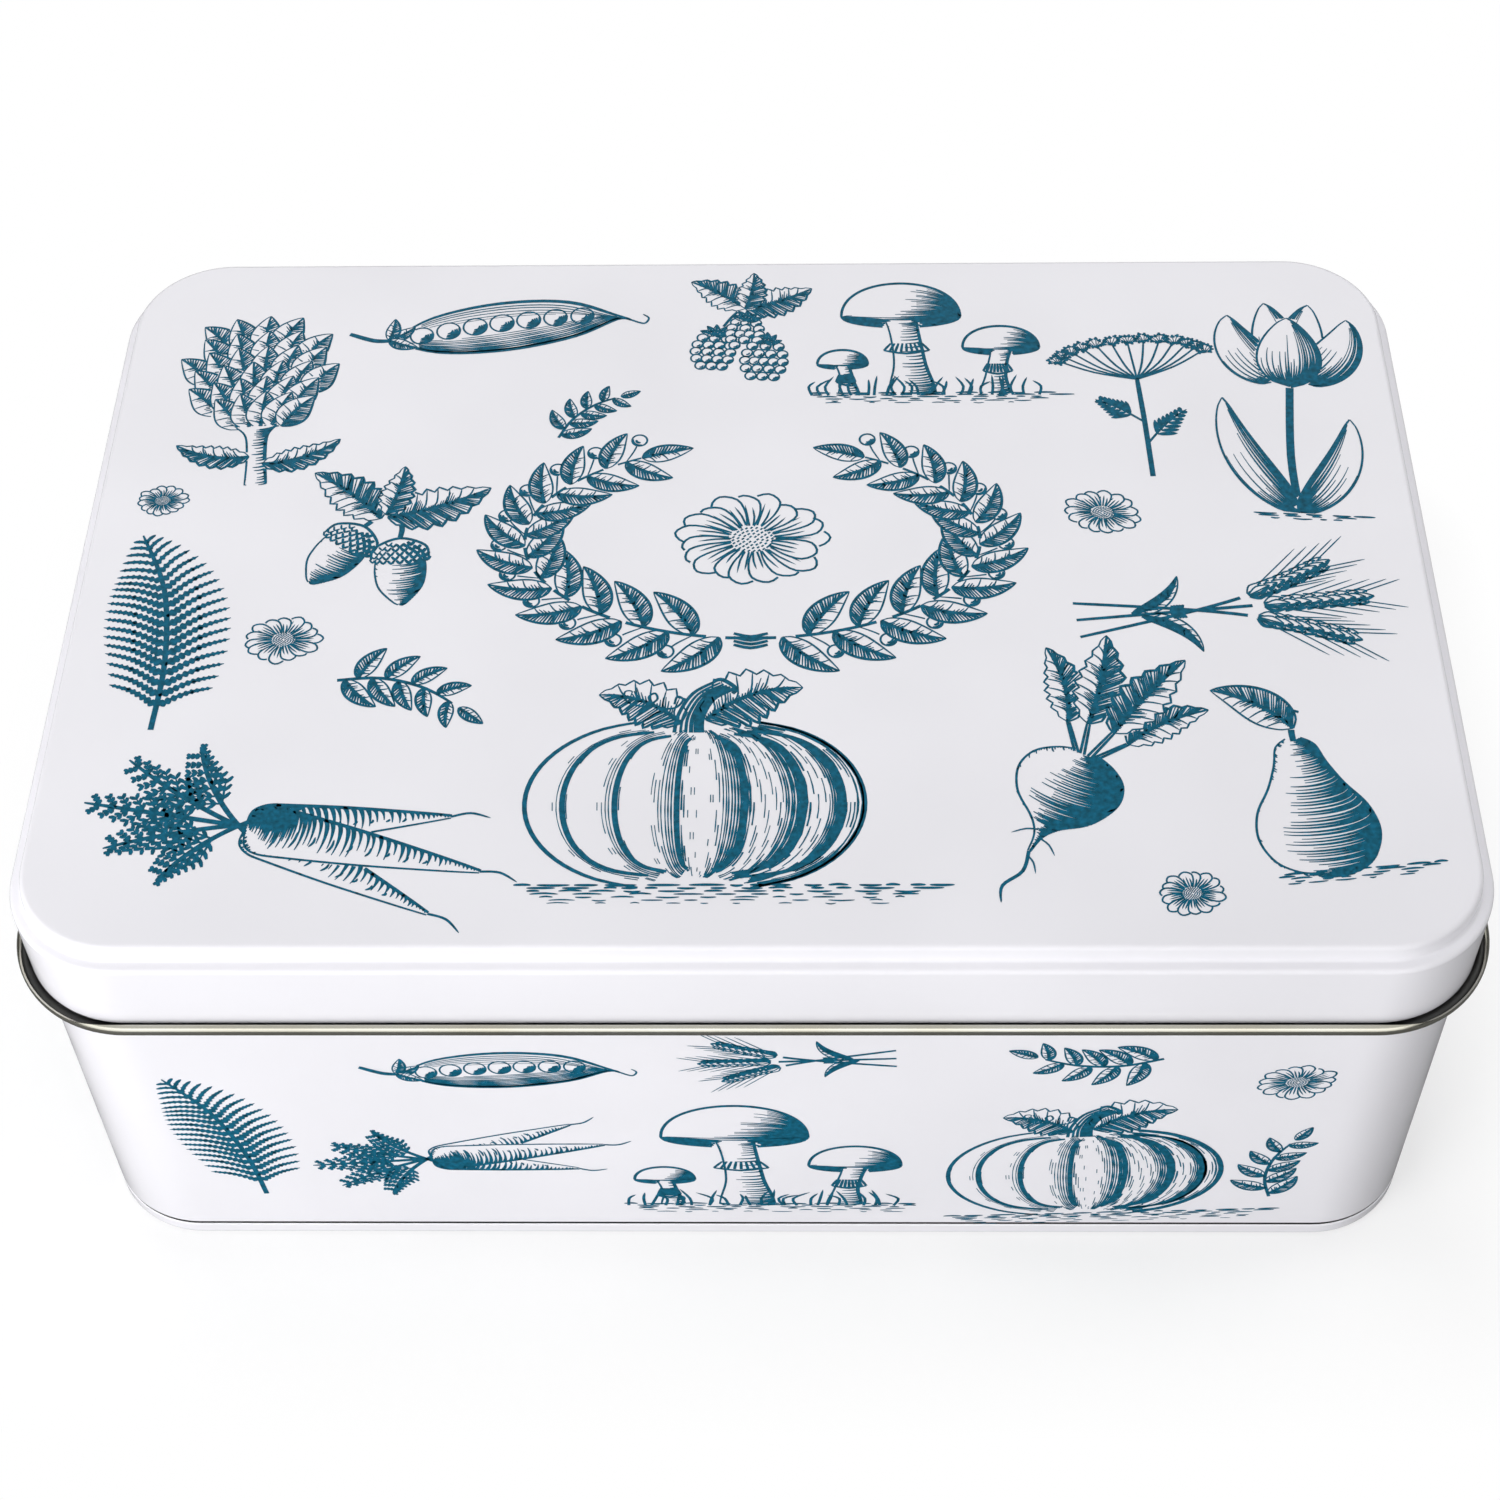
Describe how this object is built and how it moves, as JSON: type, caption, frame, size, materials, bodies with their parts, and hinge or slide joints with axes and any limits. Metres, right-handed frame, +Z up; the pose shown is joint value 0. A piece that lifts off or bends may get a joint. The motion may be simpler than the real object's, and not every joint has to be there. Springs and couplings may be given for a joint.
{
  "type": "storage tin",
  "caption": "Rectangular storage tin of lacquered tinplate with rounded corners, a base seamed on round its foot and a lift-off lid with a raised panel and a rolled edge.",
  "frame": {"origin": "centre of the tin's outline, at the bottom of the foot", "axes": "+X along the long side, +Z up out of the lid, -Y towards the printed front wall"},
  "size_m": [0.2, 0.1382, 0.0744],
  "materials": {
    "white_lacquer": "glossy white stoving lacquer on tinplate, the outside of every sheet",
    "bare_tinplate": "bright tinplate with a faint golden clear lacquer, the inside of every sheet and the lid's rolled edge",
    "teal_ink": "teal line print under the gloss of the lacquer"
  },
  "bodies": {
    "tin": {"body_wall": "white_lacquer", "base": "white_lacquer"},
    "lid": {"lid": "white_lacquer"}
  },
  "joints": [
    {"name": "lid_lift", "type": "slide", "parent": "tin", "child": "lid", "axis": [0, 0, 1], "range_m": [0, 0.03]}
  ]
}
